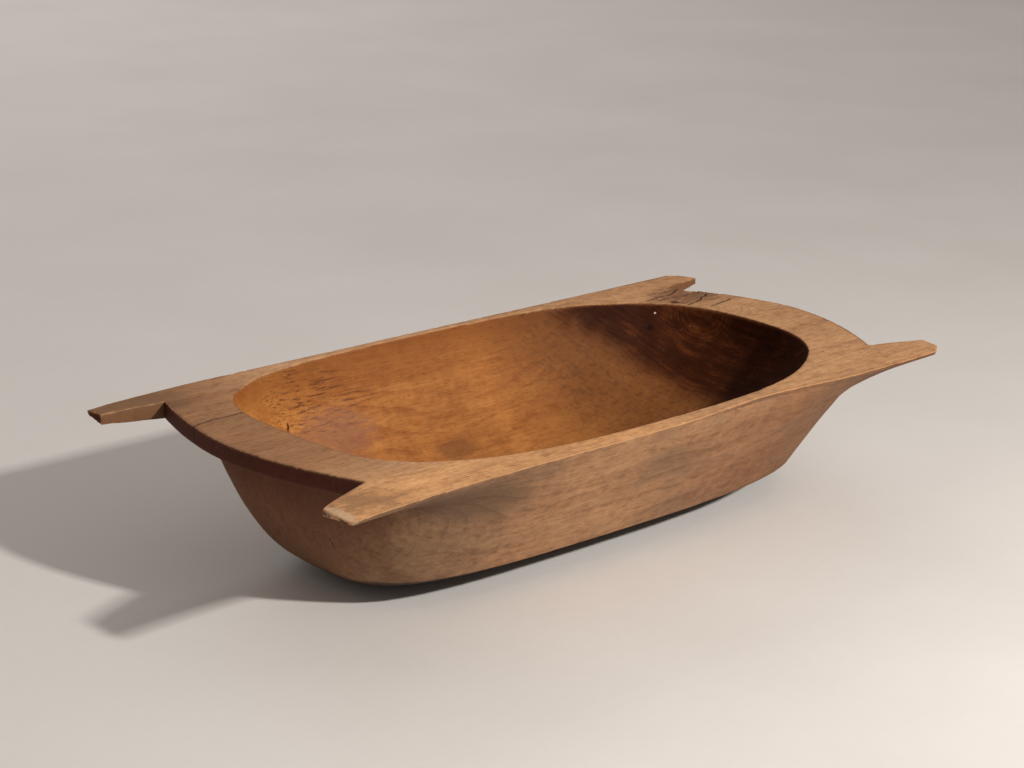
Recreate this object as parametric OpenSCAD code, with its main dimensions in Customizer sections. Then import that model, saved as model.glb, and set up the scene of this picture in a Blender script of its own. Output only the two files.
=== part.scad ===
// Four-lug dough trough, hewn from one block of wood.
// X runs along the trough, Y across it and Z up. The origin is under the
// middle of the trough, on the surface that it stands on.

/* [Whole trough] */
// Height from the flat underside to the top of the rim
trough_h = 195; // [170:1:220]
// Distance from the middle to the tips of the lugs
tip_x = 510; // [495:1:530]
// Distance from the middle line to the front edge of the rim
front_y = 240; // [236:1:248]
// Distance from the middle line to the back edge of the rim
back_y = 250; // [246:1:256]

/* [End rims] */
// Thickness of the end rims at their edge
rim_t = 21; // [16:1:26]
// Place of the left notches along the length
left_notch_x = 420; // [415:1:430]
// Place of the right notches along the length
right_notch_x = 434; // [428:1:440]
// How far the left end rim bulges past its notches
left_bulge = 41; // [30:1:48]
// How far the right end rim bulges past its notches
right_bulge = 67; // [55:1:72]
// Distance from the middle line to the front notches
front_notch_y = 163; // [158:1:170]
// Distance from the middle line to the back notches
back_notch_y = 208; // [202:1:212]
// How full the curve of the end rims is
bulge_power = 1.75; // [1.5:0.05:2.2]

/* [Lugs] */
// Inner corner of the front left lug's tip, across the trough
fl_in = 197; // [190:1:205]
// Outer corner of the front left lug's tip, across the trough
fl_out = 252; // [245:1:256]
// Inner corner of the back left lug's tip, across the trough
bl_in = 214; // [210:1:220]
// Outer corner of the back left lug's tip, across the trough
bl_out = 239; // [234:1:250]
// Inner corner of the front right lug's tip, across the trough
fr_in = 190; // [184:1:198]
// Outer corner of the front right lug's tip, across the trough
fr_out = 237; // [230:1:244]
// Inner corner of the back right lug's tip, across the trough
br_in = 216; // [212:1:222]
// Outer corner of the back right lug's tip, across the trough
br_out = 251; // [240:1:254]
// Thickness of the two left lugs at the inner corner of their tips
left_tip_t = 14; // [10:1:18]
// Thickness of the two right lugs at the inner corner of their tips
right_tip_t = 10; // [7:1:16]
// Thickness of every lug along its outer edge
outer_t = 6; // [4:1:9]
// Worn corner at the tips of the right lugs
right_cut = 24; // [10:1:30]
// Worn corner at the tips of the left lugs
left_cut = 4; // [2:1:12]

/* [Hull] */
// Length of the hull to the left, just under the end rim
hull_left_end = 413; // [408:1:420]
// Length of the hull to the right, just under the end rim
hull_right_end = 419; // [412:1:426]
// Height of the edge where the long sides turn under
chine_z = 37; // [30:1:45]
// Half width of the hull at that edge
chine_y = 154; // [145:1:165]
// Half width of the flat on the underside
flat_y = 60; // [50:1:80]
// Length of the flat to the left of the middle
flat_left = 198; // [160:1:230]
// Length of the flat to the right of the middle
flat_right = 311; // [250:1:330]
// Depth of the hollow where the hull meets the end rims
rim_hollow = 26; // [15:1:35]
// Depth of the hollow where the hull meets the lugs
lug_hollow = 50; // [40:1:70]

/* [Bowl] */
// Depth of the bowl
bowl_d = 167; // [140:1:172]
// Half length of the opening to the left
open_left = 385; // [375:1:390]
// Half length of the opening to the right
open_right = 399; // [390:1:404]
// Half width of the opening
open_y = 227; // [222:1:229]
// How much each side wall leans in over the depth of the bowl
wall_lean = 100; // [95:1:115]

/* [Wear] */
// Depth of the worn hollow in the front edge
wear_d = 13; // [0:1:16]
// Place of its middle along the trough
wear_x = 165; // [100:5:220]
// Half of its length
wear_l = 170; // [100:5:220]

/* [Hidden] */

wood = [0.62, 0.43, 0.27];

// The hull and the bowl each have a middle line of their own
hull_mid = [6, 6];
bowl_mid = [6, 12.5];
hull_top_y = 246;
// Fullness of the plan curves: 2 is an ellipse, more is boxier
top_full = 5;
flat_full_left = 3.9;
flat_full_right = 2.85;
// How the two ends of the hull curve under: the first number says how early, the second how roundly
left_curve = [1.6, 4.5];
right_curve = [5, 4];
// The same for the section of the underside, where 1 is a straight slope
under_full = 1.1;
// Spacing of the points along each stretch of the rim
side_n = 30;
arc_n = 18;
lug_n = 5;
tip_n = 3;

function mix(a, b, t) = a + (b - a) * t;

// A point on a rounded oblong with its own half length at each end,
// in the direction of the guide g, which lies on a square of side 2
function oblong(mid, g, left, right, half_w, full) =
    let (k = pow(pow(abs(g[0]), full) + pow(abs(g[1]), full), -1 / full))
    [mid[0] + g[0] * k * (g[0] < 0 ? left : right), mid[1] + g[1] * k * half_w];

// ---- the edge of the rim, seen from above ----

// How deep the worn hollow is at this place along the front edge
function worn(x) =
    abs(x - wear_x) > wear_l ? 0 : wear_d * pow(cos(90 * (x - wear_x) / wear_l), 2);

// The line of a long edge at this place, fairing into the two lugs at its ends
function side_line(x, y_mid, y_left, y_right, x_left, x_right) =
    let (from_l = max(0, (-330 - x) / (-330 - x_left)),
         from_r = max(0, (x - 330) / (x_right - 330)))
    y_mid + (y_left - y_mid) * pow(from_l, 1.6) + (y_right - y_mid) * pow(from_r, 1.6);

// The guide of a point on a long edge: true to place amidships, crowded at the ends
function side_guide(x, last) =
    let (near = 300 / hull_right_end, far = min(1, (abs(x) - 300) / (tip_x - 300)))
    sign(x) * (abs(x) < 300 ? abs(x) / hull_right_end : mix(near, last, far));

// Each station is [x, y, guide x, guide y, thickness there, kind of hollow there],
// where the hollow is 0 for the long one under a lug and 1 for the short one under an end rim
function side(x0, x1, sgn, y_mid, y_left, y_right, g_left, g_right) =
    [for (i = [0 : side_n - 1])
        let (x = mix(x0, x1, i / side_n),
             y = side_line(x, y_mid, y_left, y_right, min(x0, x1), max(x0, x1)))
        [x, sgn * (y - (sgn < 0 ? worn(x) : 0)), side_guide(x, x < 0 ? g_left : g_right), sgn,
         outer_t, 0]];

// A straight stretch, where a and b are the stations at its ends
function stretch(a, b, n) = [for (i = [0 : n - 1]) a + (b - a) * i / n];

// The bulging edge of an end rim, between its notches
function end_arc(sgn, notch, bulge, y0, y1, g0, g1) =
    [for (i = [1 : arc_n - 1])
        let (y = mix(y0, y1, i / arc_n),
             mid = (y0 + y1) / 2,
             u = abs(y - mid) / abs(y1 - mid))
        [sgn * (notch + bulge * (1 - pow(u, bulge_power))), y,
         sgn, mix(g0, g1, i / arc_n), rim_t, 1]];

// The corners of the lugs, as stations
fl_outer = [-tip_x + 2, -fl_out, -0.95, -1, outer_t, 0];
fl_inner = [-tip_x + left_cut, -fl_in, -1, -0.97, left_tip_t - 4, 0.3];
fl_root = [-left_notch_x, -front_notch_y, -1, -0.8, rim_t, 1];
fr_outer = [tip_x - right_cut - 3, -fr_out, 0.95, -1, outer_t, 0];
fr_corner = [tip_x - 4, -fr_out + 16, 0.96, -1, outer_t, 0.1];
fr_inner = [tip_x + 2, -fr_in, 0.98, -1, right_tip_t, 0.3];
fr_root = [right_notch_x, -front_notch_y, 1, -0.93, rim_t, 1];
br_root = [right_notch_x, back_notch_y, 0.79, 1, rim_t, 1];
br_inner = [tip_x, br_in, 0.76, 1, right_tip_t, 0.3];
br_corner = [tip_x - 9, br_out - 11, 0.745, 1, outer_t, 0.1];
br_outer = [tip_x - right_cut, br_out, 0.73, 1, outer_t, 0];
bl_outer = [-tip_x, bl_out, -0.76, 1, outer_t, 0];
bl_inner = [-tip_x + left_cut, bl_in, -0.775, 1, left_tip_t, 0.3];
bl_root = [-left_notch_x, back_notch_y, -0.82, 1, rim_t, 1];

// All the way round, anticlockwise from the front left lug
stations = concat(
    side(fl_outer[0], fr_outer[0], -1, front_y, fl_out, fr_out, 0.95, 0.95),
    stretch(fr_outer, fr_corner, tip_n),
    stretch(fr_corner, fr_inner, tip_n),
    stretch(fr_inner, fr_root, lug_n),
    [fr_root],
    end_arc(1, right_notch_x, right_bulge, -front_notch_y, back_notch_y, -0.85, 0.93),
    stretch(br_root, br_inner, lug_n),
    stretch(br_inner, br_corner, tip_n),
    stretch(br_corner, br_outer, tip_n),
    side(br_outer[0], bl_outer[0], 1, back_y, bl_out, br_out, 0.76, 0.73),
    stretch(bl_outer, bl_inner, tip_n),
    stretch(bl_inner, bl_root, lug_n),
    [bl_root],
    end_arc(-1, left_notch_x, left_bulge, back_notch_y, -front_notch_y, 0.93, -0.7),
    stretch(fl_root, fl_inner, lug_n),
    stretch(fl_inner, fl_outer, tip_n)
);
count = len(stations);

// ---- the hull, by depth below the rim ----

function below(d) = max(0, (d - rim_t) / (trough_h - rim_t));
function hull_left(d) =
    flat_left + (hull_left_end - flat_left) * pow(1 - pow(below(d), left_curve[0]), 1 / left_curve[1]);
function hull_right(d) =
    flat_right + (hull_right_end - flat_right) * pow(1 - pow(below(d), right_curve[0]), 1 / right_curve[1]);
function hull_side(d) =
    let (chine_d = trough_h - chine_z, u = (d - chine_d) / chine_z)
    d < chine_d ? mix(hull_top_y, chine_y, d / chine_d)
                : flat_y + (chine_y - flat_y) * pow(1 - pow(u, under_full), 1 / under_full);
function hull_full(d, left) =
    mix(left ? flat_full_left : flat_full_right, top_full, pow(1 - below(d), 2));
function hull_at(st, d) =
    oblong(hull_mid, [st[2], st[3]], hull_left(d), hull_right(d), hull_side(d), hull_full(d, st[2] < 0));

// How far the outside at this depth still follows the edge of the rim above it
function follow(st, d) =
    let (deep = mix(lug_hollow, rim_hollow, st[5]), sharp = mix(3, 6, st[5]))
    d <= st[4] ? 1 : pow(1 - min(1, (d - st[4]) / deep), sharp);
// Under a long edge the outside leans in with the hull, and under the others it drops plumb
function outside(st, d) =
    let (p = hull_at(st, d), w = follow(st, d),
         from = mix(hull_at(st, 0), p, min(1, 3.4 * st[5])))
    [p[0] + (st[0] - from[0]) * w, p[1] + (st[1] - from[1]) * w, trough_h - d];

hull_top = rim_t + rim_hollow;
function hull_ring(d) = [for (st = stations) outside(st, d)];
function hollow_ring(k) = [for (st = stations) outside(st, mix(st[4], hull_top, k))];

rim_ring = [for (st = stations) [st[0], st[1], trough_h]];

// ---- the bowl, by depth as a share of its own ----

function open_full(g) =
    let (l = (1 - g[0] / max(abs(g[0]), abs(g[1]))) / 2,
         b = (1 + g[1] / max(abs(g[0]), abs(g[1]))) / 2)
    mix(mix(2.55, 2.85, b), mix(3.05, 3.8, b), l);
function bowl_ring(t) =
    let (end = pow(1 - pow(t, 2.4), 1 / 2),
         half_w = (open_y - wall_lean * t) * pow(1 - pow(t, 5), 1 / 2.2))
    [for (st = stations)
        let (g = [st[2], st[3]],
             p = oblong(bowl_mid, g, open_left * end, open_right * end, half_w, mix(open_full(g), 2.3, t)))
        [p[0], p[1], trough_h - bowl_d * t]];

// ---- the solid: rings from the underside, over the rim and down into the bowl ----

rings = concat(
    [for (k = [0, 0.04, 0.11, 0.23, 0.37, 0.55, 0.75]) hull_ring(trough_h - chine_z * k)],
    [for (k = [0, 0.11, 0.23, 0.37, 0.51, 0.66, 0.79, 0.91]) hull_ring(mix(trough_h - chine_z, hull_top, k))],
    [for (k = [1, 0.7, 0.45, 0.25, 0.1, 0.02, 0]) hollow_ring(k)],
    [rim_ring],
    [for (t = [0, 0.03, 0.08, 0.15, 0.24, 0.34, 0.45, 0.56, 0.67, 0.77, 0.86, 0.93, 0.98]) bowl_ring(t)]
);
ring_n = len(rings);

module dough_trough() {
    points = concat([for (r = rings) for (p = r) p], [[bowl_mid[0], bowl_mid[1], trough_h - bowl_d]]);
    last = (ring_n - 1) * count;
    walls = [for (r = [0 : ring_n - 2]) for (i = [0 : count - 1])
        let (a = r * count + i, b = r * count + (i + 1) % count)
        each [[a, b + count, b], [a, a + count, b + count]]];
    underside = [[for (i = [0 : count - 1]) i]];
    bowl_floor = [for (i = [0 : count - 1]) [last + i, ring_n * count, last + (i + 1) % count]];
    color(wood) polyhedron(points, concat(underside, walls, bowl_floor), convexity = 6);
}

dough_trough();
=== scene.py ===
"""A dough trough carved by hand from one block of wood, with four lugs to carry it by.

The frame's solid gives the shape. It becomes an even fine mesh, which is then worked the way the
real one was: tool marks, worn arrises, chips, bites and drying cracks. One wood material dresses it.
All lengths are in metres, in the frame's own axes: X along the trough, Z up, the rim on top.
"""

import math

import bmesh
import bpy
import numpy as np
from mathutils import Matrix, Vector
from mathutils.kdtree import KDTree


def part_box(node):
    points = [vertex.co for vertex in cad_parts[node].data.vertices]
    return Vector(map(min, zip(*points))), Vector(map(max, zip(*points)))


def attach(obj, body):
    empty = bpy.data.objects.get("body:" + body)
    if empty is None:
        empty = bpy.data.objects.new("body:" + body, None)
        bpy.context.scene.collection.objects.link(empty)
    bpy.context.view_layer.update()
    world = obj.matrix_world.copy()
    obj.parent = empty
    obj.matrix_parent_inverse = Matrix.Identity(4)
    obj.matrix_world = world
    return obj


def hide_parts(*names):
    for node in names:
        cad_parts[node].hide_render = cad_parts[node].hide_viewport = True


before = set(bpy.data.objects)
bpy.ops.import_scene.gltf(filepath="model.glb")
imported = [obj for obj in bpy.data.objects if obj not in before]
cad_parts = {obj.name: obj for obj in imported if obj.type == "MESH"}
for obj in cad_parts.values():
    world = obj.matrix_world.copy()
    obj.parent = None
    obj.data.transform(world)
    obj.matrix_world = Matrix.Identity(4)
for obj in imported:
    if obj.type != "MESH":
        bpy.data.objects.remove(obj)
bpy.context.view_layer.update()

NODE = "dough_trough"
MM = 0.001

# The rim is the top of the frame's box. The bowl's edge is a rounded oblong round its own middle.
RIM_Z = Vector(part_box(NODE)[1]).z
RIM_THICK = 0.0215
BOWL_END_X = 0.41
BOWL_SIDE_Y = 0.235
BOWL_MID_Y = 0.0125
BOWL_ROUNDNESS = 3.2

# Mesh: the remesh makes cells of about 2 mm, and edges sharper than this angle are arrises.
MESH_DEPTH = 9
MESH_SCALE = 0.9
SHARP_ANGLE = math.radians(20)
SHADE_ANGLE = math.radians(50)
SEED = 7
RIM_CHIPS = 46

# Camera
CAMERA_PLACE = (-2.058, -2.1315, 1.0955)
CAMERA_AZIMUTH = -43.28
CAMERA_PITCH = 17.085
CAMERA_ROLL = 1.37
LENS_MM = 87.9
SENSOR_MM = 36.0


# ---------------------------------------------------------------- camera, light and floor


def make_camera():
    """Looks down on the trough from beyond its front left lug."""
    azimuth, pitch, roll = (math.radians(a) for a in (CAMERA_AZIMUTH, CAMERA_PITCH, CAMERA_ROLL))
    forward = Vector(
        (-math.sin(azimuth) * math.cos(pitch), math.cos(azimuth) * math.cos(pitch), -math.sin(pitch))
    )
    level = Vector((math.cos(azimuth), math.sin(azimuth), 0.0))
    upright = level.cross(forward)
    right = math.cos(roll) * level + math.sin(roll) * upright
    up = math.cos(roll) * upright - math.sin(roll) * level
    data = bpy.data.cameras.new("camera")
    data.lens = LENS_MM
    data.sensor_width = SENSOR_MM
    data.clip_end = 60.0
    camera = bpy.data.objects.new("camera", data)
    matrix = camera.matrix_world.copy()
    for row in range(3):
        matrix[row][0] = right[row]
        matrix[row][1] = up[row]
        matrix[row][2] = -forward[row]
        matrix[row][3] = CAMERA_PLACE[row]
    camera.matrix_world = matrix
    bpy.context.scene.collection.objects.link(camera)
    bpy.context.scene.camera = camera


def area_light(name, place, target, size, power, colour):
    """One square softbox, aimed at a point."""
    data = bpy.data.lights.new(name, "AREA")
    data.shape = "SQUARE"
    data.size = size
    data.energy = power
    data.color = colour
    light = bpy.data.objects.new(name, data)
    light.location = place
    light.rotation_euler = (Vector(target) - Vector(place)).to_track_quat("-Z", "Y").to_euler()
    bpy.context.scene.collection.objects.link(light)


def make_light():
    """One small key light from the front right, in a pale room with more light at its far side."""
    area_light("key", place=(0.42, -2.72, 1.86), target=(0.0, 0.0, 0.1), size=0.17, power=108.0,
               colour=(1.0, 0.975, 0.94))
    area_light("room", place=(1.2, 5.2, 3.2), target=(1.2, 5.2, 0.0), size=5.0, power=85.0,
               colour=(1.0, 0.985, 0.97))
    world = bpy.data.worlds.new("room")
    world.use_nodes = True
    background = world.node_tree.nodes["Background"]
    background.inputs["Color"].default_value = (1.0, 0.90, 0.845, 1.0)
    background.inputs["Strength"].default_value = 0.325
    bpy.context.scene.world = world
    view = bpy.context.scene.view_settings
    view.view_transform = "Standard"
    view.look = "None"


# ---------------------------------------------------------------- shader helper


class Graph:
    """Builds a node material. Each method adds a node and returns its output socket."""

    def __init__(self, name):
        self.material = bpy.data.materials.new(name)
        self.material.use_nodes = True
        self.tree = self.material.node_tree
        self.tree.nodes.clear()

    def add(self, kind, inputs, **settings):
        node = self.tree.nodes.new(kind)
        for key, setting in settings.items():
            setattr(node, key, setting)
        for key, item in inputs.items():
            if isinstance(item, bpy.types.NodeSocket):
                self.tree.links.new(item, node.inputs[key])
            else:
                node.inputs[key].default_value = item
        return node

    def math(self, operation, *values, clamp=False):
        inputs = dict(enumerate(values))
        return self.add("ShaderNodeMath", inputs, operation=operation, use_clamp=clamp).outputs[0]

    def total(self, *values):
        result = values[0]
        for item in values[1:]:
            result = self.math("ADD", result, item)
        return result

    def times(self, *values, clamp=False):
        result = values[0]
        for item in values[1:]:
            result = self.math("MULTIPLY", result, item, clamp=clamp)
        return result

    def line(self, value, slope, base):
        """The value times the slope, plus the base."""
        return self.math("MULTIPLY_ADD", value, slope, base)

    def swing(self, value, weight):
        """A noise round 0.5, moved to run round 0 and scaled."""
        return self.times(self.math("SUBTRACT", value, 0.5), weight)

    def vector(self, operation, *values):
        node = self.add("ShaderNodeVectorMath", dict(enumerate(values)), operation=operation)
        return node.outputs["Value" if operation in ("LENGTH", "DOT_PRODUCT") else "Vector"]

    def mix(self, amount, first, second, blend="MIX"):
        inputs = {0: amount, 6: first, 7: second}
        return self.add("ShaderNodeMix", inputs, data_type="RGBA", blend_type=blend).outputs[2]

    def paint(self, amount, colour, paint):
        """The colour, covered by the amount with a paint of red, green and blue."""
        return self.mix(amount, colour, (*paint, 1.0))

    def tint(self, amount, colour, factors):
        """The colour, with its red, green and blue multiplied by the factors as far as the amount."""
        return self.mix(amount, colour, self.mix(1.0, colour, (*factors, 1.0), "MULTIPLY"))

    def blend(self, amount, first, second):
        """Two numbers mixed, as mix does with two colours."""
        inputs = {0: amount, 2: first, 3: second}
        return self.add("ShaderNodeMix", inputs, data_type="FLOAT").outputs[0]

    def smooth(self, value, low, high):
        """0 below low and 1 above high, with a soft step between; low above high turns it round."""
        inputs = {0: value, 1: low, 2: high, 3: 0.0, 4: 1.0}
        return self.add("ShaderNodeMapRange", inputs, interpolation_type="SMOOTHSTEP").outputs[0]

    def noise(self, place, cell, detail=2.0, roughness=0.5):
        """Noise round 0.5, with one cell size in metres, or one for each of X, Y and Z."""
        sizes = cell if isinstance(cell, tuple) else (cell, cell, cell)
        scaled = self.vector("MULTIPLY", place, tuple(1.0 / size for size in sizes))
        inputs = {"Vector": scaled, "Scale": 1.0, "Detail": detail, "Roughness": roughness}
        return self.add("ShaderNodeTexNoise", inputs).outputs[0]

    def wander(self, place, cell, amount):
        """A wandering offset of up to about half of amount on each axis."""
        scaled = self.vector("MULTIPLY", place, tuple(1.0 / size for size in cell))
        inputs = {"Vector": scaled, "Scale": 1.0, "Detail": 2.0}
        colour = self.add("ShaderNodeTexNoise", inputs).outputs[1]
        return self.vector("MULTIPLY", self.vector("SUBTRACT", colour, (0.5, 0.5, 0.5)), amount)

    def turned(self, place):
        """The place measured across, along and up layers that slant at 45 degrees along the trough."""
        across = self.vector("DOT_PRODUCT", place, (0.707, 0.0, 0.707))
        along = self.vector("DOT_PRODUCT", place, (0.0, 1.0, 0.0))
        up = self.vector("DOT_PRODUCT", place, (-0.707, 0.0, 0.707))
        return self.add("ShaderNodeCombineXYZ", {0: across, 1: along, 2: up}).outputs[0]

    def ramp(self, amount, *stops):
        """A colour for each amount, from stops of a position and its red, green and blue."""
        node = self.add("ShaderNodeValToRGB", {0: amount})
        elements = node.color_ramp.elements
        while len(elements) < len(stops):
            elements.new(0.5)
        for element, (position, colour) in zip(elements, stops):
            element.position = position
            element.color = (*colour, 1.0)
        return node.outputs[0]

    def mask(self, name):
        """A number that the mesh holds at each of its points."""
        return self.add("ShaderNodeAttribute", {}, attribute_name=name).outputs["Fac"]

    def finish(self, colour, roughness, height, bump_distance, bump_strength, specular):
        bump = self.add("ShaderNodeBump", {"Height": height, "Distance": bump_distance,
                                           "Strength": bump_strength})
        inputs = {"Base Color": colour, "Roughness": roughness, "Normal": bump.outputs[0],
                  "Specular IOR Level": specular}
        shader = self.add("ShaderNodeBsdfPrincipled", inputs)
        self.add("ShaderNodeOutputMaterial", {"Surface": shader.outputs[0]}, is_active_output=True)
        return self.material


# ---------------------------------------------------------------- floor


def floor_material():
    g = Graph("pale_floor")
    place = g.add("ShaderNodeTexCoord", {}).outputs["Object"]
    cloud = g.noise(place, 0.35, 3.0)
    grit = g.noise(place, (0.03, 0.02, 0.02), 4.0, 0.6)
    tone = g.total(g.times(cloud, 0.8), g.times(grit, 0.2))
    colour = g.ramp(tone, (0.3, (0.685, 0.652, 0.615)), (0.7, (0.725, 0.695, 0.660)))
    roughness = g.line(cloud, 0.2, 0.45)
    return g.finish(colour, roughness, grit, bump_distance=1.2 * MM, bump_strength=0.3, specular=0.3)


def make_floor():
    """A plain pale floor, much larger than the view."""
    half = 14.0
    mesh = bpy.data.meshes.new("floor")
    corners = [(-half, -half, 0.0), (half, -half, 0.0), (half, half, 0.0), (-half, half, 0.0)]
    mesh.from_pydata(corners, [], [(0, 1, 2, 3)])
    mesh.materials.append(floor_material())
    floor = bpy.data.objects.new("floor", mesh)
    bpy.context.scene.collection.objects.link(floor)


# ---------------------------------------------------------------- numbers on points


def smoothstep(value, low, high):
    """0 at low and 1 at high, with a soft step between, for arrays."""
    t = np.clip((value - low) / (high - low), 0.0, 1.0)
    return t * t * (3.0 - 2.0 * t)


def lattice(cell, seed):
    """A repeatable random number from -1 to 1 for each whole-number point, by mixing its bits."""
    n = cell[:, 0] * 374761393 + cell[:, 1] * 668265263 + cell[:, 2] * 362437 + seed * 974711
    n = (n ^ (n >> 13)) * 1274126177
    n = n ^ (n >> 16)
    return (n & 0xFFFFFF) / float(0x7FFFFF) - 1.0


def noise(points, cell, seed, octaves=1):
    """Smooth noise from -1 to 1. cell is its grain in metres, one number or one for each axis, and
    each use has its own seed. Each further octave is half as coarse and half as strong."""
    apart = 37.3
    result = np.zeros(len(points))
    total = 0.0
    for octave in range(octaves):
        scaled = points / (np.array(cell) * 0.5**octave) + apart * octave
        corner = np.floor(scaled).astype(np.int64)
        part = scaled - corner
        part = part * part * part * (part * (part * 6.0 - 15.0) + 10.0)
        value = np.zeros(len(points))
        for step in np.ndindex(2, 2, 2):
            weight = np.prod(np.where(np.array(step) == 1, part, 1.0 - part), axis=1)
            value += weight * lattice(corner + step, SEED + 11 * seed + octave)
        result += value * 0.5**octave
        total += 0.5**octave
    return result / total


def blob(points, centre, size):
    """1 at the centre, falling to 0 at the given size along each axis."""
    away = (points - np.array(centre)) / np.array(size)
    return np.clip(1.0 - (away * away).sum(axis=1), 0.0, 1.0)


# ---------------------------------------------------------------- mesh work


def read_points(mesh):
    points = np.empty(len(mesh.vertices) * 3)
    mesh.vertices.foreach_get("co", points)
    return points.reshape(-1, 3)


def write_points(mesh, points):
    mesh.vertices.foreach_set("co", points.ravel())
    mesh.update()


def read_normals(mesh):
    normals = np.empty(len(mesh.vertices) * 3)
    mesh.vertex_normals.foreach_get("vector", normals)
    return normals.reshape(-1, 3)


def read_edges(mesh):
    edges = np.empty(len(mesh.edges) * 2, dtype=np.int32)
    mesh.edges.foreach_get("vertices", edges)
    return edges.reshape(-1, 2)


def relax(points, edges, weight, rounds):
    """Moves each point towards the middle of its neighbours, by its weight."""
    first, second = edges.T
    count = len(points)
    degree = np.bincount(first, minlength=count) + np.bincount(second, minlength=count)
    for _ in range(rounds):
        middle = np.empty_like(points)
        for axis in range(3):
            middle[:, axis] = np.bincount(first, points[second, axis], count)
            middle[:, axis] += np.bincount(second, points[first, axis], count)
        middle /= degree[:, None]
        points = points + weight[:, None] * (middle - points)
    return points


def smooth_numbers(values, edges, rounds):
    """The same relaxing for one number on each point."""
    first, second = edges.T
    count = len(values)
    degree = np.bincount(first, minlength=count) + np.bincount(second, minlength=count)
    for _ in range(rounds):
        around = np.bincount(first, values[second], count) + np.bincount(second, values[first], count)
        values = 0.5 * values + 0.5 * around / degree
    return values


def arris_edges(bm):
    """The solid's sharp edges."""
    return [e for e in bm.edges if len(e.link_faces) == 2 and e.calc_face_angle(0.0) > SHARP_ANGLE]


def points_along(edges, spacing):
    """Points every few millimetres along some edges."""
    found = []
    for edge in edges:
        start, end = (vert.co for vert in edge.verts)
        steps = max(1, math.ceil((end - start).length / spacing))
        found.extend(start.lerp(end, i / steps) for i in range(steps + 1))
    return found


def tree_of(targets):
    tree = KDTree(len(targets))
    for index, target in enumerate(targets):
        tree.insert(target, index)
    tree.balance()
    return tree


def distances(points, targets):
    """How far each point is from the nearest target."""
    tree = tree_of(targets)
    return np.array([tree.find(point)[2] for point in points])


def fine_mesh(source):
    """The frame's solid as an even mesh of small squares that keeps its arrises, and points
    along those arrises."""
    bm = bmesh.new()
    bm.from_mesh(source.data)
    bmesh.ops.remove_doubles(bm, verts=bm.verts, dist=0.01 * MM)
    arrises = points_along(arris_edges(bm), 2.0 * MM)
    mesh = bpy.data.meshes.new("solid")
    bm.to_mesh(mesh)
    bm.free()
    obj = bpy.data.objects.new("solid", mesh)
    bpy.context.scene.collection.objects.link(obj)
    remesh = obj.modifiers.new("even", "REMESH")
    remesh.mode = "SHARP"
    remesh.octree_depth = MESH_DEPTH
    remesh.scale = MESH_SCALE
    graph = bpy.context.evaluated_depsgraph_get()
    fine = bpy.data.meshes.new_from_object(obj.evaluated_get(graph))
    bpy.data.objects.remove(obj)
    return fine, arrises


def bite(points, centre, size, seed):
    """Pushes points out of an uneven ellipsoid, which leaves a scooped chip, nick or dent."""
    unevenness = 0.22
    centre = np.array(centre)
    size = np.array(size)
    near = np.where((np.abs(points - centre) < size * 1.3).all(axis=1))[0]
    away = (points[near] - centre) / size
    reach = np.linalg.norm(away, axis=1)
    edge = 1.0 + unevenness * noise(points[near], size.min() * 0.9, seed)
    inside = reach < edge
    scale = np.where(inside, edge / np.maximum(reach, 0.05), 1.0)
    points[near] = centre + away * scale[:, None] * size


def shave(points, region, through, facing):
    """Flattens what stands above a plane, as one cut of a knife does."""
    facing = np.array(facing) / np.linalg.norm(facing)
    above = (points - np.array(through)) @ facing
    amount = np.where(region, np.maximum(above, 0.0), 0.0)
    points -= amount[:, None] * facing


# ---------------------------------------------------------------- the trough's surface


def bowl_reach(points):
    """How far out each point is in plan: 0 at the bowl's middle and 1 at its edge."""
    along = np.abs(points[:, 0] / BOWL_END_X) ** BOWL_ROUNDNESS
    across = np.abs((points[:, 1] - BOWL_MID_Y) / BOWL_SIDE_Y) ** BOWL_ROUNDNESS
    return along + across


def inside_mask(points, normals):
    """1 on the bowl's own surface, which may lean a little over at the steep left end."""
    inward = points[:, 0] * normals[:, 0] + (points[:, 1] - BOWL_MID_Y) * normals[:, 1] < 0.0
    upward = normals[:, 2] > np.where(inward, -0.3, 0.02)
    below_rim = points[:, 2] < RIM_Z - 1.2 * MM
    return ((bowl_reach(points) < 1.06) & upward & below_rim).astype(float)


def tool_marks(points, normals, edge_distance):
    """How far the surface stands out or in, from the hand tools that cut it.

    Each kind of wave is its height in millimetres times noise with its length on each axis.
    """
    inside = inside_mask(points, normals)
    on_top = (normals[:, 2] > 0.85) & (points[:, 2] > RIM_Z - 3.0 * MM)
    outside = np.clip(1.0 - inside - on_top, 0.0, 1.0)
    away = smoothstep(edge_distance, 1.0 * MM, 16.0 * MM)
    hull_waves = 0.8 * noise(points, (0.22, 0.07, 0.06), 1)
    hull_waves += 0.22 * noise(points, (0.08, 0.024, 0.022), 2)
    bowl_waves = 0.8 * noise(points, (0.20, 0.09, 0.09), 3)
    bowl_ripples = 0.16 * noise(points, (0.034, 0.14, 0.14), 4)
    bowl_ripples += 0.07 * noise(points, (0.02, 0.03, 0.03), 5)
    top_waves = 0.22 * noise(points, (0.12, 0.04, 0.05), 6)
    amount = outside * hull_waves * away + inside * (bowl_waves + bowl_ripples) * away
    return (amount + on_top * top_waves) * MM


def hand_wander(points):
    """The small sideways wander of lines cut by eye."""
    slow = np.stack([noise(points, (0.11, 0.09, 0.12), 12 + k) for k in range(2)], axis=1)
    quick = np.stack([noise(points, (0.022, 0.018, 0.03), 15 + k, 2) for k in range(2)], axis=1)
    points[:, :2] += (0.6 * slow + 0.28 * quick) * MM


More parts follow.
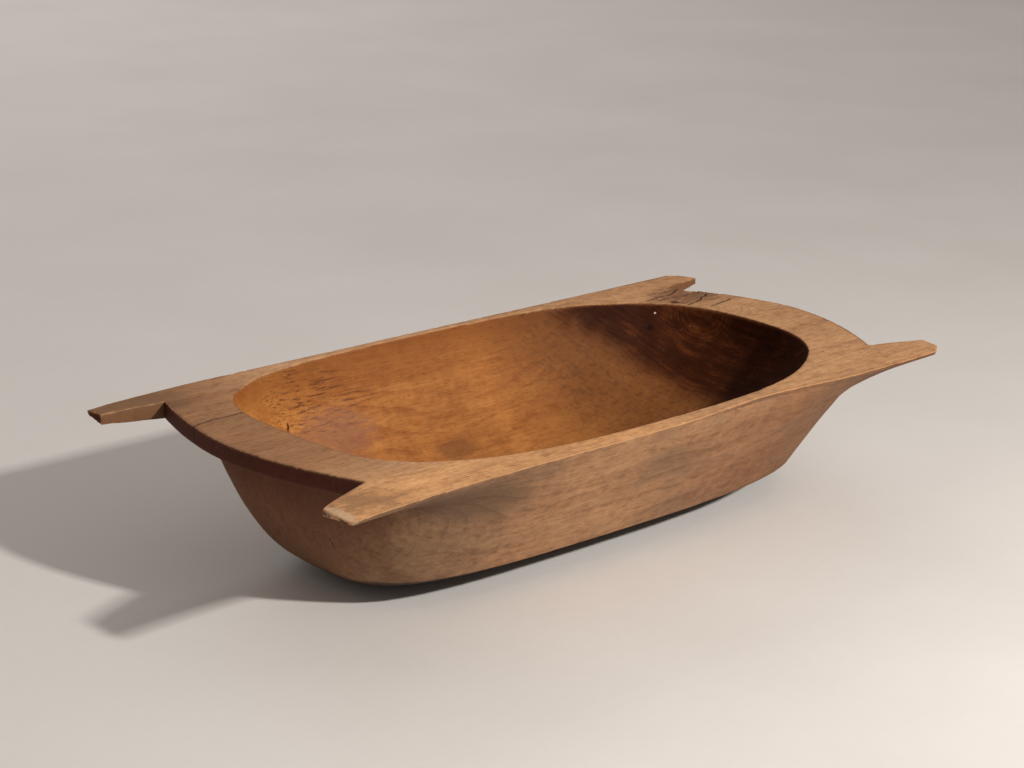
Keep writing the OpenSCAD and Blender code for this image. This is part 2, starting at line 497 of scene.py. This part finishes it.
def worn_edges(points, edge_distance):
    """Uneven wear where the arrises are: lower in some places than in others."""
    near = 1.0 - smoothstep(edge_distance, 0.0, 3.2 * MM)
    uneven = 0.5 + 0.5 * noise(points, (0.03, 0.02, 0.02), 8, 2)
    nicked = smoothstep(noise(points, (0.012, 0.008, 0.008), 9), 0.45, 0.95)
    return -near * (0.35 * uneven + 0.7 * nicked) * MM


# Nicks in the rim's edges: the place along and across the trough, the centre's height above the
# rim in millimetres, and the size on each axis in millimetres.
NICKS = (
    (-0.4515, 0.1095, 0.0, (3.0, 3.5, 3.0)),
    (-0.4615, 0.0215, 1.0, (3.5, 4.0, 3.0)),
    (-0.4480, -0.0780, 1.0, (4.5, 3.0, 2.6)),
    (-0.4430, -0.0920, 1.0, (4.0, 2.6, 2.4)),
    (0.3637, -0.1432, 1.2, (6.0, 2.6, 2.2)),
    (0.3316, -0.1755, 1.2, (5.0, 2.2, 2.0)),
    (0.4505, 0.1795, 0.5, (5.0, 6.0, 4.0)),
    (0.4560, 0.1650, 0.5, (4.0, 7.0, 3.5)),
    (0.4620, 0.1480, 0.5, (4.0, 5.0, 3.0)),
)


def carve_features(points):
    """The marks of use that have a place of their own."""
    x, y, z = points.T

    # The rim has crumbled along the grain beside the back right notch.
    crumbled = blob(points, (0.436, 0.168, RIM_Z), (0.062, 0.050, 0.030))
    ragged = np.abs(noise(points, (0.030, 0.0075, 0.0075), 24, 2))
    points[:, 2] -= np.sqrt(crumbled) * ragged * (z > RIM_Z - 8 * MM) * 5.5 * MM

    # The front left lug slopes down at its tip, and has lost a piece under it.
    front_left_tip = (x < -0.47) & (y < -0.17)
    shave(points, front_left_tip, (-0.492, 0.0, RIM_Z), (-0.17, 0.0, 1.0))
    bite(points, (-0.5085, -0.232, RIM_Z - 7 * MM), (7 * MM, 12 * MM, 3.5 * MM), 21)

    for number, (along, across, lift, size) in enumerate(NICKS):
        bite(points, (along, across, RIM_Z + lift * MM), [side * MM for side in size], 30 + number)


def rim_chips(points, arrises, count):
    """Small chips scattered along the arrises of the rim, short of the lugs' tips."""
    rng = np.random.default_rng(SEED)
    rim = [p for p in arrises if p.z > RIM_Z - 2 * MM and abs(p.x) < 0.47]
    for number in range(count):
        place = rim[int(rng.integers(len(rim)))]
        radius = rng.uniform(1.3, 2.6) * MM
        size = (radius * rng.uniform(1.2, 3.0), radius, radius * 0.8)
        lift = Vector((0.0, 0.0, radius * 0.4))
        bite(points, place + lift, size, 60 + number)


# The cracks that run in from the rim's end edges: places along and across the trough, then the
# width and the depth in millimetres.
RIM_CRACKS = (
    (((-0.454, 0.106), (-0.439, 0.112), (-0.414, 0.116), (-0.389, 0.1155), (-0.374, 0.117)), 1.2, 26.0),
    (((0.447, 0.189), (0.418, 0.1805), (0.392, 0.174), (0.361, 0.1695)), 2.2, 20.0),
    (((0.456, 0.146), (0.428, 0.132), (0.392, 0.120)), 1.8, 16.0),
    (((0.462, 0.106), (0.434, 0.1005), (0.412, 0.0975)), 1.1, 9.0),
)

# The short splits in the bowl's wall and the hull's end: the path on the surface, the width and the
# depth in millimetres, and the way into the wood.
WALL_CRACKS = (
    (((-0.2541, 0.1845, 0.1395), (-0.2565, 0.180, 0.1358), (-0.2602, 0.176, 0.1328)),
     2.0, 9.0, (-0.22, 0.77, -0.6)),
    (((-0.394, -0.062, 0.098), (-0.388, -0.066, 0.087), (-0.3825, -0.0685, 0.0765)),
     0.5, 3.0, (0.86, 0.18, 0.45)),
)
CRACK_STEP = 4 * MM
CRACK_WANDER = 1 * MM


def all_cracks():
    """Each crack's path, width, depth and way into the wood, and whether its first end is open."""
    for path, width, depth in RIM_CRACKS:
        yield [Vector((*place, RIM_Z)) for place in path], width, depth, Vector((0.0, 0.0, -1.0)), True
    for path, width, depth, into in WALL_CRACKS:
        yield [Vector(place) for place in path], width, depth, Vector(into).normalized(), False


def stations_along(path):
    """Evenly spaced points along a path of straight stretches."""
    stations = []
    for start, end in zip(path, path[1:]):
        steps = max(1, round((end - start).length / CRACK_STEP))
        stations.extend(start.lerp(end, i / steps) for i in range(steps))
    stations.append(path[-1])
    return stations


def crack_cutters():
    """Thin wedges, one for each crack, that the wood opens along, and points inside them."""
    rng = np.random.default_rng(SEED + 1)
    bm = bmesh.new()
    line = []
    lift = 4 * MM
    for path, width, depth, into, open_start in all_cracks():
        stations = stations_along(path)
        rings = []
        last = len(stations) - 1
        for index, point in enumerate(stations):
            ahead = stations[min(index + 1, last)] - stations[max(index - 1, 0)]
            side = ahead.cross(into).normalized()
            run = index / last
            fade = 1.0 - run**2 if open_start else 4.0 * run * (1.0 - run)
            half = 0.5 * width * MM * max(fade, 0.12) * rng.uniform(0.75, 1.2)
            reach = depth * MM * max(fade, 0.15)
            middle = point + side * rng.uniform(-1.0, 1.0) * CRACK_WANDER
            top = half * (1.0 + lift / reach)
            corners = (middle - into * lift - side * top, middle - into * lift + side * top,
                       middle + into * reach)
            rings.append([bm.verts.new(corner) for corner in corners])
            line.extend(middle + into * step * MM for step in range(0, int(reach / MM) + 1, 2))
        for ring, following in zip(rings, rings[1:]):
            for k in range(3):
                bm.faces.new((ring[k], ring[(k + 1) % 3], following[(k + 1) % 3], following[k]))
        bm.faces.new(rings[0][::-1])
        bm.faces.new(rings[-1])
    bmesh.ops.recalc_face_normals(bm, faces=bm.faces)
    mesh = bpy.data.meshes.new("cracks")
    bm.to_mesh(mesh)
    bm.free()
    return mesh, line


def cut_cracks(mesh):
    """The mesh with its cracks cut in."""
    cutters, line = crack_cutters()
    body = bpy.data.objects.new("body", mesh)
    tool = bpy.data.objects.new("cutters", cutters)
    for obj in (body, tool):
        bpy.context.scene.collection.objects.link(obj)
    cut = body.modifiers.new("cut", "BOOLEAN")
    cut.operation = "DIFFERENCE"
    cut.solver = "MANIFOLD"
    cut.object = tool
    graph = bpy.context.evaluated_depsgraph_get()
    result = bpy.data.meshes.new_from_object(body.evaluated_get(graph))
    bpy.data.objects.remove(body)
    bpy.data.objects.remove(tool)
    return result, line


def standing_out(points, normals, edges, weight, rounds):
    """How far each point stands out from the surface round it, relaxed by the weight and rounds."""
    relaxed = relax(points, edges, np.full(len(points), weight), rounds)
    return ((points - relaxed) * normals).sum(axis=1)


def bowl_masks(points, loose, inside, edges):
    """The parts of the bowl. The heartwood and the deeper wood are at the right end."""
    x, y, z = points.T
    heart = smoothstep(loose[:, 0] + loose[:, 2], 0.350, 0.490) * inside
    return {
        "left_wall": inside * smoothstep(-x, 0.15, 0.28),
        # Painted shade: the top of the back wall, under the back rim.
        "painted_back_shade": inside * smoothstep(z, 0.13, RIM_Z) * smoothstep(y, 0.10, 0.17),
        "heart": smooth_numbers(heart, edges, 4),
        "deep": smoothstep(loose[:, 0] + 0.3 * loose[:, 2], 0.06, 0.34) * inside,
        "streaks": inside * blob(loose, (-0.20, 0.20, 0.152), (0.13, 0.06, 0.05)),
        "pink": inside * blob(loose, (-0.185, 0.17, 0.115), (0.10, 0.07, 0.045)),
        "smudge": inside * blob(loose, (-0.01, 0.142, 0.066), (0.05, 0.03, 0.02)),
    }


def hull_masks(points, loose, normals, inside, top, edges):
    """The parts of the outside, with the rim's upright edges past the ends of the bowl."""
    x, y, z = points.T
    outside = 1.0 - inside
    end_ward = smoothstep(np.abs(normals[:, 0]), 0.45, 0.95) * outside
    end_deep = 0.62 + 0.38 * smoothstep(z, 0.08, 0.16)
    # Painted shade: the hull just under the rim at each end, where the rim overhangs it.
    shade_under_rim = smoothstep(np.abs(x), 0.33, 0.40) * smoothstep(z, 0.095, 0.165) * (1.0 - top)
    olive_left = blob(loose, (-0.31, -0.21, 0.15), (0.13, 0.05, 0.05))
    olive_middle = 0.6 * blob(loose, (0.03, -0.2, 0.14), (0.09, 0.05, 0.04))
    on_edge = (z > RIM_Z - RIM_THICK) & (np.abs(normals[:, 2]) < 0.5) & (np.abs(x) > 0.41)
    return {
        "left_hull": outside * smoothstep(-x, 0.16, 0.30),
        "middle": smoothstep(x, -0.30, -0.12) * smoothstep(-x, -0.16, 0.02) * outside,
        "far": smoothstep(x, 0.03, 0.28) * outside,
        "olive": outside * np.maximum(olive_left, olive_middle),
        "end_side": smooth_numbers(end_ward, edges, 6) * end_deep,
        "painted_end_shade": outside * shade_under_rim,
        "end_face": smooth_numbers(on_edge * end_ward, edges, 1),
        "lug_side": on_edge * smoothstep(y, 0.15, 0.19) * (np.abs(normals[:, 0]) < 0.5),
        # Painted shade: downward faces near the floor, marked to be darkened as the shade under the hull.
        "underside": smoothstep(-normals[:, 2], 0.72, 0.88) * (z < 0.06),
    }


def rim_masks(points, loose, top):
    """The parts of the rim that light, hands and damp have changed."""
    x, y, _ = points.T
    front_left = blob(loose, (-0.455, -0.215, RIM_Z), (0.075, 0.060, 0.03))
    back_left = blob(loose, (-0.455, 0.215, RIM_Z), (0.085, 0.060, 0.03))
    return {
        "aged": smoothstep(-loose[:, 0], 0.24, 0.40) * smoothstep(loose[:, 1], -0.19, -0.05),
        "sunny": smoothstep(-y, 0.13, 0.20) * smoothstep(-x, -0.10, 0.12) * top,
        "soiled": np.maximum(front_left, back_left),
        "decay": blob(loose, (0.432, 0.165, RIM_Z), (0.080, 0.065, 0.040)),
        "chalk": blob(points, (-0.503, -0.222, RIM_Z - 1 * MM), (0.013, 0.045, 0.012)),
    }


def wear_masks(points, normals, edges, crack_line):
    """Where the surface is rubbed, hollow or cracked."""
    crest = standing_out(points, normals, edges, 0.6, 6) / MM
    arris = np.clip(standing_out(points, normals, edges, 1.0, 1) / (0.4 * MM), 0.0, 1.0)
    handled = 0.55 + 0.45 * smoothstep(-points[:, 1], 0.17, 0.21)
    handled = np.where(bowl_reach(points) < 1.02, 0.35, handled)
    return {
        "crest": np.clip(crest, -1.0, 1.0),
        "rubbed": arris * (points[:, 2] > RIM_Z - 16 * MM) * handled,
        "crack": 1.0 - smoothstep(distances(points, crack_line), 0.6 * MM, 4.0 * MM),
    }


def surface_masks(mesh, crack_line):
    """Gives each point of the mesh the numbers that the material reads by name: where it is on the
    object, and how worn. They run from 0 to 1, and crest from -1 in a hollow to 1 on a ridge."""
    points = read_points(mesh)
    normals = read_normals(mesh)
    edges = read_edges(mesh)
    warp = 9 * MM * np.stack([noise(points, 0.035, 70 + k, 2) for k in range(3)], axis=1)
    loose = points + warp
    inside = inside_mask(points, normals)
    top = ((normals[:, 2] > 0.8) & (points[:, 2] > RIM_Z - 4 * MM)).astype(float)
    masks = {"inside": smooth_numbers(inside, edges, 2), "top": smooth_numbers(top, edges, 1)}
    masks |= bowl_masks(points, loose, inside, edges)
    masks |= hull_masks(points, loose, normals, inside, top, edges)
    masks |= rim_masks(points, loose, top)
    masks |= wear_masks(points, normals, edges, crack_line)
    for name, values in masks.items():
        attribute = mesh.attributes.new(name, "FLOAT", "POINT")
        attribute.data.foreach_set("value", values.astype(np.float32))


def softened(points, edges, edge_distance):
    """The solid's facets smoothed away, short of its arrises, and the lugs' tips worn blunt."""
    free = smoothstep(edge_distance, 2.0 * MM, 12.0 * MM)
    points = relax(points, edges, 0.55 * free, 40)
    at_tips = smoothstep(np.abs(points[:, 0]), 0.478, 0.498)
    return relax(points, edges, 0.4 * at_tips, 2)


def make_trough():
    """The whole trough: one piece, in place of the frame's one solid."""
    mesh, arrises = fine_mesh(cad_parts[NODE])
    edges = read_edges(mesh)
    points = read_points(mesh)
    edge_distance = distances(points, arrises)
    points = softened(points, edges, edge_distance)
    write_points(mesh, points)
    normals = read_normals(mesh)
    amount = tool_marks(points, normals, edge_distance) + worn_edges(points, edge_distance)
    points = points + normals * amount[:, None]
    hand_wander(points)
    carve_features(points)
    rim_chips(points, arrises, RIM_CHIPS)
    points = relax(points, edges, np.full(len(points), 0.15), 1)
    points[:, 2] = np.maximum(points[:, 2], 0.0)
    write_points(mesh, points)
    mesh, crack_line = cut_cracks(mesh)
    surface_masks(mesh, crack_line)
    mesh.shade_smooth()
    mesh.set_sharp_from_angle(angle=SHADE_ANGLE)
    mesh.materials.clear()
    mesh.materials.append(wood_material())
    trough = bpy.data.objects.new("carved_trough", mesh)
    bpy.context.scene.collection.objects.link(trough)
    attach(trough, "root")
    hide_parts(NODE)


# ---------------------------------------------------------------- the wood


class Wood(Graph):
    """One block of old wood. The methods from weathered to worn each lay one kind of colour over the
    last. Noise cells are in metres, long along the trough because the grain is."""

    def __init__(self):
        super().__init__("old_wood")
        place = self.add("ShaderNodeTexCoord", {}).outputs["Object"]
        bend = self.wander(place, (0.36, 0.16, 0.16), (0.0, 0.022, 0.022))
        ruffle = self.wander(place, (0.06, 0.025, 0.025), (0.0, 0.0018, 0.0018))
        self.place = place
        self.grown = self.vector("ADD", self.vector("ADD", place, bend), ruffle)
        self.inside = self.mask("inside")
        self.top = self.mask("top")
        self.aged = self.mask("aged")
        self.fine = self.noise(place, (0.030, 0.0013, 0.0013), 3.0, 0.65)
        self.fibre = self.noise(place, (0.10, 0.0045, 0.0045), 4.0, 0.62)
        self.streak = self.noise(self.grown, (0.30, 0.020, 0.020), 4.0, 0.55)
        self.cloud = self.noise(place, (0.13, 0.06, 0.06), 3.0, 0.55)
        self.blotch = self.noise(place, 0.024, 4.0, 0.62)
        self.speck = self.noise(place, 0.0045, 2.0, 0.6)
        self.mottle = self.noise(place, (0.014, 0.0075, 0.0075), 5.0, 0.70)
        self.pores = self.smooth(self.noise(place, (0.010, 0.0010, 0.0010), 1.0), 0.60, 0.72)
        heart = self.total(self.mask("heart"), self.swing(self.streak, 0.5), self.swing(self.blotch, 0.7))
        self.heart = self.smooth(heart, 0.15, 0.95)
        self.grow_rings()

    def grow_rings(self):
        """Rings round the pith, which runs along the trough level with the rim. A branch left the
        log at the right end, and rings round its own pith take over there."""
        from_pith = self.vector("SUBTRACT", self.grown, (0.0, 0.0, 0.21))
        radius = self.vector("LENGTH", self.vector("MULTIPLY", from_pith, (0.0, 1.0, 1.0)))
        from_branch = self.vector("SUBTRACT", self.grown, (0.392, 0.100, 0.190))
        stretched = self.vector("MULTIPLY", from_branch, (0.75, 1.0, 1.0))
        self.branch_radius = self.vector("LENGTH", stretched)
        near_branch = self.smooth(self.branch_radius, 0.13, 0.02)
        log_rings = self.times(radius, 190.0)
        branch_rings = self.times(self.branch_radius, 95.0)
        self.rings = self.blend(near_branch, log_rings, branch_rings)
        self.late_wood = self.math("POWER", self.math("FRACT", self.rings), 3.0)

    def plain(self):
        """The hull, the bowl and the rim have aged to different browns, and each has paler parts."""
        ring_presence = self.smooth(self.cloud, 0.40, 0.68)
        tone = self.total(
            self.swing(self.fine, self.line(self.top, 0.30, 0.34)),
            self.swing(self.fibre, 0.22),
            self.swing(self.streak, 0.42),
            self.swing(self.blotch, 0.36),
            self.swing(self.mottle, self.line(self.inside, -0.22, 0.62)),
            self.times(self.late_wood, self.line(ring_presence, -0.10, -0.03)),
            self.times(self.late_wood, self.mask("olive"), -0.14),
            0.53,
        )
        far = self.mask("far")
        hull = self.ramp(tone, (0.22, (0.115, 0.052, 0.026)), (0.45, (0.27, 0.128, 0.062)),
                         (0.60, (0.36, 0.180, 0.088)), (0.80, (0.47, 0.26, 0.135)))
        hull = self.tint(self.times(self.mask("middle"), 0.85), hull, (1.13, 1.20, 1.17))
        hull = self.tint(self.mask("left_hull"), hull, (0.79, 0.88, 0.95))
        hull = self.tint(far, hull, (0.72, 0.68, 0.64))
        bowl = self.ramp(tone, (0.20, (0.15, 0.043, 0.010)), (0.45, (0.30, 0.106, 0.027)),
                         (0.60, (0.39, 0.152, 0.040)), (0.82, (0.50, 0.225, 0.070)))
        bowl = self.tint(self.mask("left_wall"), bowl, (1.27, 1.34, 1.22))
        rim = self.ramp(tone, (0.20, (0.20, 0.088, 0.040)), (0.45, (0.45, 0.230, 0.107)),
                        (0.60, (0.59, 0.322, 0.154)), (0.82, (0.74, 0.46, 0.24)))
        rim = self.tint(self.times(self.aged, 0.85), rim, (0.59, 0.51, 0.43))
        rim = self.tint(far, rim, (0.92, 0.90, 0.86))
        rim = self.tint(self.mask("sunny"), rim, (1.26, 1.20, 1.05))
        return self.mix(self.top, self.mix(self.inside, hull, bowl), rim)

    def weathered(self, colour):
        """Smudges and rot on the rim, short dark flecks, and grey and olive patches outside."""
        smear = self.total(self.mask("soiled"), self.times(self.aged, 0.35), self.swing(self.mottle, 2.6),
                           self.swing(self.blotch, 1.4))
        smeared = self.times(self.smooth(smear, 0.35, 1.05), self.top, 0.62)
        colour = self.paint(smeared, colour, (0.15, 0.072, 0.036))

        decay = self.total(self.mask("decay"), self.swing(self.mottle, 2.6))
        decayed = self.times(self.smooth(decay, 0.20, 0.95), 0.74)
        colour = self.paint(decayed, colour, (0.115, 0.044, 0.020))

        fleck = self.smooth(self.noise(self.place, (0.014, 0.0016, 0.0016), 2.0, 0.6), 0.60, 0.72)
        flecks = self.times(fleck, self.smooth(self.cloud, 0.35, 0.60))
        flecked = self.times(flecks, self.line(self.aged, 0.25, 0.40))
        colour = self.paint(flecked, colour, (0.12, 0.055, 0.028))

        patches = self.total(self.times(self.cloud, 0.6), self.times(self.blotch, 0.25),
                             self.times(self.streak, 0.25))
        sheltered = self.math("MAXIMUM", self.inside, self.times(self.top, 0.7))
        bare = self.math("SUBTRACT", 1.0, sheltered, clamp=True)
        greyed = self.times(self.smooth(patches, 0.50, 0.70), bare, 0.55)
        colour = self.paint(greyed, colour, (0.19, 0.112, 0.066))

        olive = self.total(self.mask("olive"), self.times(self.blotch, 0.5), self.times(self.streak, 0.4))
        return self.paint(self.times(self.smooth(olive, 0.62, 1.35), 0.66), colour, (0.115, 0.064, 0.035))

    def end_grain(self, colour):
        """End grain takes up dirt and goes dark and red. Under the rim at each end the hull is painted
        darker, as shade. The sides of the back lugs are dark too.
        """
        red_end = self.times(self.mask("end_side"), self.line(self.streak, 0.8, 0.30), clamp=True)
        colour = self.paint(red_end, colour, (0.125, 0.030, 0.011))
        # Painted shade under the rim's overhang at each end.
        colour = self.paint(self.times(self.mask("painted_end_shade"), 0.45), colour, (0.075, 0.028, 0.014))
        colour = self.paint(self.times(self.mask("lug_side"), 0.55), colour, (0.17, 0.072, 0.026))
        dark_end = self.times(self.mask("end_face"), self.line(self.mottle, 0.9, 0.40), clamp=True)
        return self.paint(dark_end, colour, (0.062, 0.0120, 0.0060))

    def deepened(self, colour):
        """Inside, soft bands cross the trough. Under the back rim the wall is painted darker as shade,
        and the wood deepens towards the right end, where dark dots lie in rows that cross."""
        band = self.line(self.noise(self.place, (0.055, 0.6, 0.6), 2.0), 0.5, 0.75)
        grey = self.add("ShaderNodeCombineXYZ", {0: band, 1: band, 2: band}).outputs[0]
        colour = self.mix(self.inside, colour, self.mix(1.0, colour, grey, "MULTIPLY"))
        # Painted shade under the back rim.
        colour = self.paint(self.times(self.mask("painted_back_shade"), 0.70), colour, (0.20, 0.060, 0.0125))
        deep = self.smooth(self.total(self.mask("deep"), self.swing(self.blotch, 0.7)), 0.1, 0.95)
        colour = self.paint(self.times(deep, 0.70), colour, (0.122, 0.042, 0.0125))
        slanting = self.noise(self.turned(self.place), (0.0045, 0.012, 0.030), 2.0)
        lengthwise = self.noise(self.place, (0.016, 0.0055, 0.0055), 2.0)
        dots = self.smooth(self.total(slanting, lengthwise), 0.95, 1.30)
        dotted = self.times(dots, self.smooth(deep, 0.35, 0.9), 0.40)
        return self.paint(dotted, colour, (0.055, 0.023, 0.010))

    def heartwood(self, colour):
        """The branch's heartwood is nearly black, with curled layers and rings of red brown in it."""
        figure = self.math("SINE", self.times(self.rings, 2.0 * math.pi))
        near_branch = self.smooth(self.branch_radius, 0.075, 0.015)
        figured = self.times(near_branch, self.smooth(self.mottle, 0.36, 0.62))
        curl = self.wander(self.place, (0.05, 0.05, 0.05), (0.020, 0.020, 0.020))
        curled = self.turned(self.vector("ADD", self.grown, curl))
        layers = self.noise(curled, (0.0050, 0.07, 0.035), 3.0)
        redder = self.smooth(self.mask("heart"), 1.0, 0.45)
        tone = self.total(
            self.times(figure, self.line(figured, 0.06, 0.010)),
            self.times(self.fine, 0.20),
            self.times(layers, 0.60),
            self.times(redder, 0.12),
            self.swing(self.blotch, 0.55),
            self.times(self.smooth(self.branch_radius, 0.10, 0.02), 0.12),
            -0.07,
        )
        dark = self.ramp(tone, (0.18, (0.012, 0.0022, 0.0010)), (0.40, (0.034, 0.0070, 0.0026)),
                         (0.58, (0.088, 0.024, 0.0070)), (0.80, (0.19, 0.062, 0.0170)))
        return self.mix(self.times(self.heart, 0.94), colour, dark)

    def worn_left(self, colour):
        """Inside at the left end: short dark streaks, pinkish worn wood, and a smudge beyond it."""
        dash = self.noise(self.place, (0.085, 0.0030, 0.0030), 3.0, 0.70)
        cluster = self.total(self.mask("streaks"), self.swing(self.streak, 1.2),
                             self.swing(self.blotch, 0.9))
        dashes = self.times(self.smooth(dash, 0.51, 0.64), self.smooth(cluster, 0.10, 0.72))
        colour = self.paint(self.times(dashes, 0.78), colour, (0.085, 0.024, 0.010))
        pink = self.smooth(self.total(self.mask("pink"), self.swing(dash, 1.4)), 0.3, 0.85)
        colour = self.paint(self.times(pink, 0.55), colour, (0.235, 0.105, 0.070))
        smudge = self.smooth(self.total(self.mask("smudge"), self.swing(self.blotch, 1.4)), 0.2, 0.9)
        return self.paint(self.times(smudge, 0.5), colour, (0.11, 0.040, 0.018))

    def small_marks(self, colour):
        """A knot beside the branch, a drop of pale paint, and the chalky tip of the front left lug."""
        from_knot = self.vector("LENGTH", self.vector("SUBTRACT", self.grown, (0.3467, 0.148, 0.1597)))
        colour = self.paint(self.smooth(from_knot, 0.0065, 0.0025), colour, (0.008, 0.003, 0.002))
        from_drop = self.vector("LENGTH", self.vector("SUBTRACT", self.place, (0.3591, 0.1517, 0.1824)))
        colour = self.paint(self.smooth(from_drop, 0.0019, 0.0011), colour, (0.60, 0.52, 0.42))
        chalk = self.smooth(self.total(self.mask("chalk"), self.swing(self.speck, 1.8)), 0.30, 0.95)
        return self.paint(self.times(chalk, 0.66), colour, (0.58, 0.42, 0.27))

    def worn(self, colour):
        """Rubbed arrises are paler. The underside is painted near black as shade under the hull. Hollows,
        cracks and pores hold dirt.
        """
        rubbed = self.smooth(self.total(self.mask("rubbed"), self.swing(self.mottle, 1.1)), 0.22, 0.85)
        colour = self.paint(self.times(rubbed, 0.66), colour, (0.72, 0.37, 0.155))
        # Painted shade: the downward faces low on the hull are painted near black, to darken the shadow
        # under it.
        colour = self.paint(self.times(self.mask("underside"), 0.92), colour, (0.030, 0.014, 0.008))
        hollow = self.smooth(self.mask("crest"), -0.10, -0.55)
        colour = self.paint(self.times(hollow, 0.55), colour, (0.06, 0.028, 0.016))
        crack = self.smooth(self.mask("crack"), 0.35, 1.0)
        colour = self.paint(self.times(crack, 0.75), colour, (0.035, 0.016, 0.010))
        return self.paint(self.times(self.pores, 0.30), colour, (0.06, 0.025, 0.012))

    def surface(self, colour):
        """The bowl is a little smoother and less shiny than the outside, and its heartwood dull."""
        patina = self.line(self.inside, -0.10, 0.72)
        roughness = self.total(patina, self.swing(self.blotch, 0.2), self.times(self.pores, 0.1))
        height = self.total(self.times(self.fibre, 0.35), self.times(self.fine, 0.45),
                            self.times(self.mottle, 0.5), self.times(self.late_wood, -0.08),
                            self.times(self.pores, -0.35), self.times(self.speck, 0.12))
        shine = self.total(0.18, self.times(self.inside, -0.09), self.times(self.heart, -0.05))
        return self.finish(colour, roughness, height, bump_distance=0.5 * MM, bump_strength=0.5,
                           specular=shine)


def wood_material():
    """The wood of the whole trough."""
    wood = Wood()
    colour = wood.plain()
    layers = (wood.weathered, wood.end_grain, wood.deepened, wood.heartwood, wood.worn_left,
              wood.small_marks, wood.worn)
    for layer in layers:
        colour = layer(colour)
    return wood.surface(colour)


make_camera()
make_light()
make_floor()
make_trough()
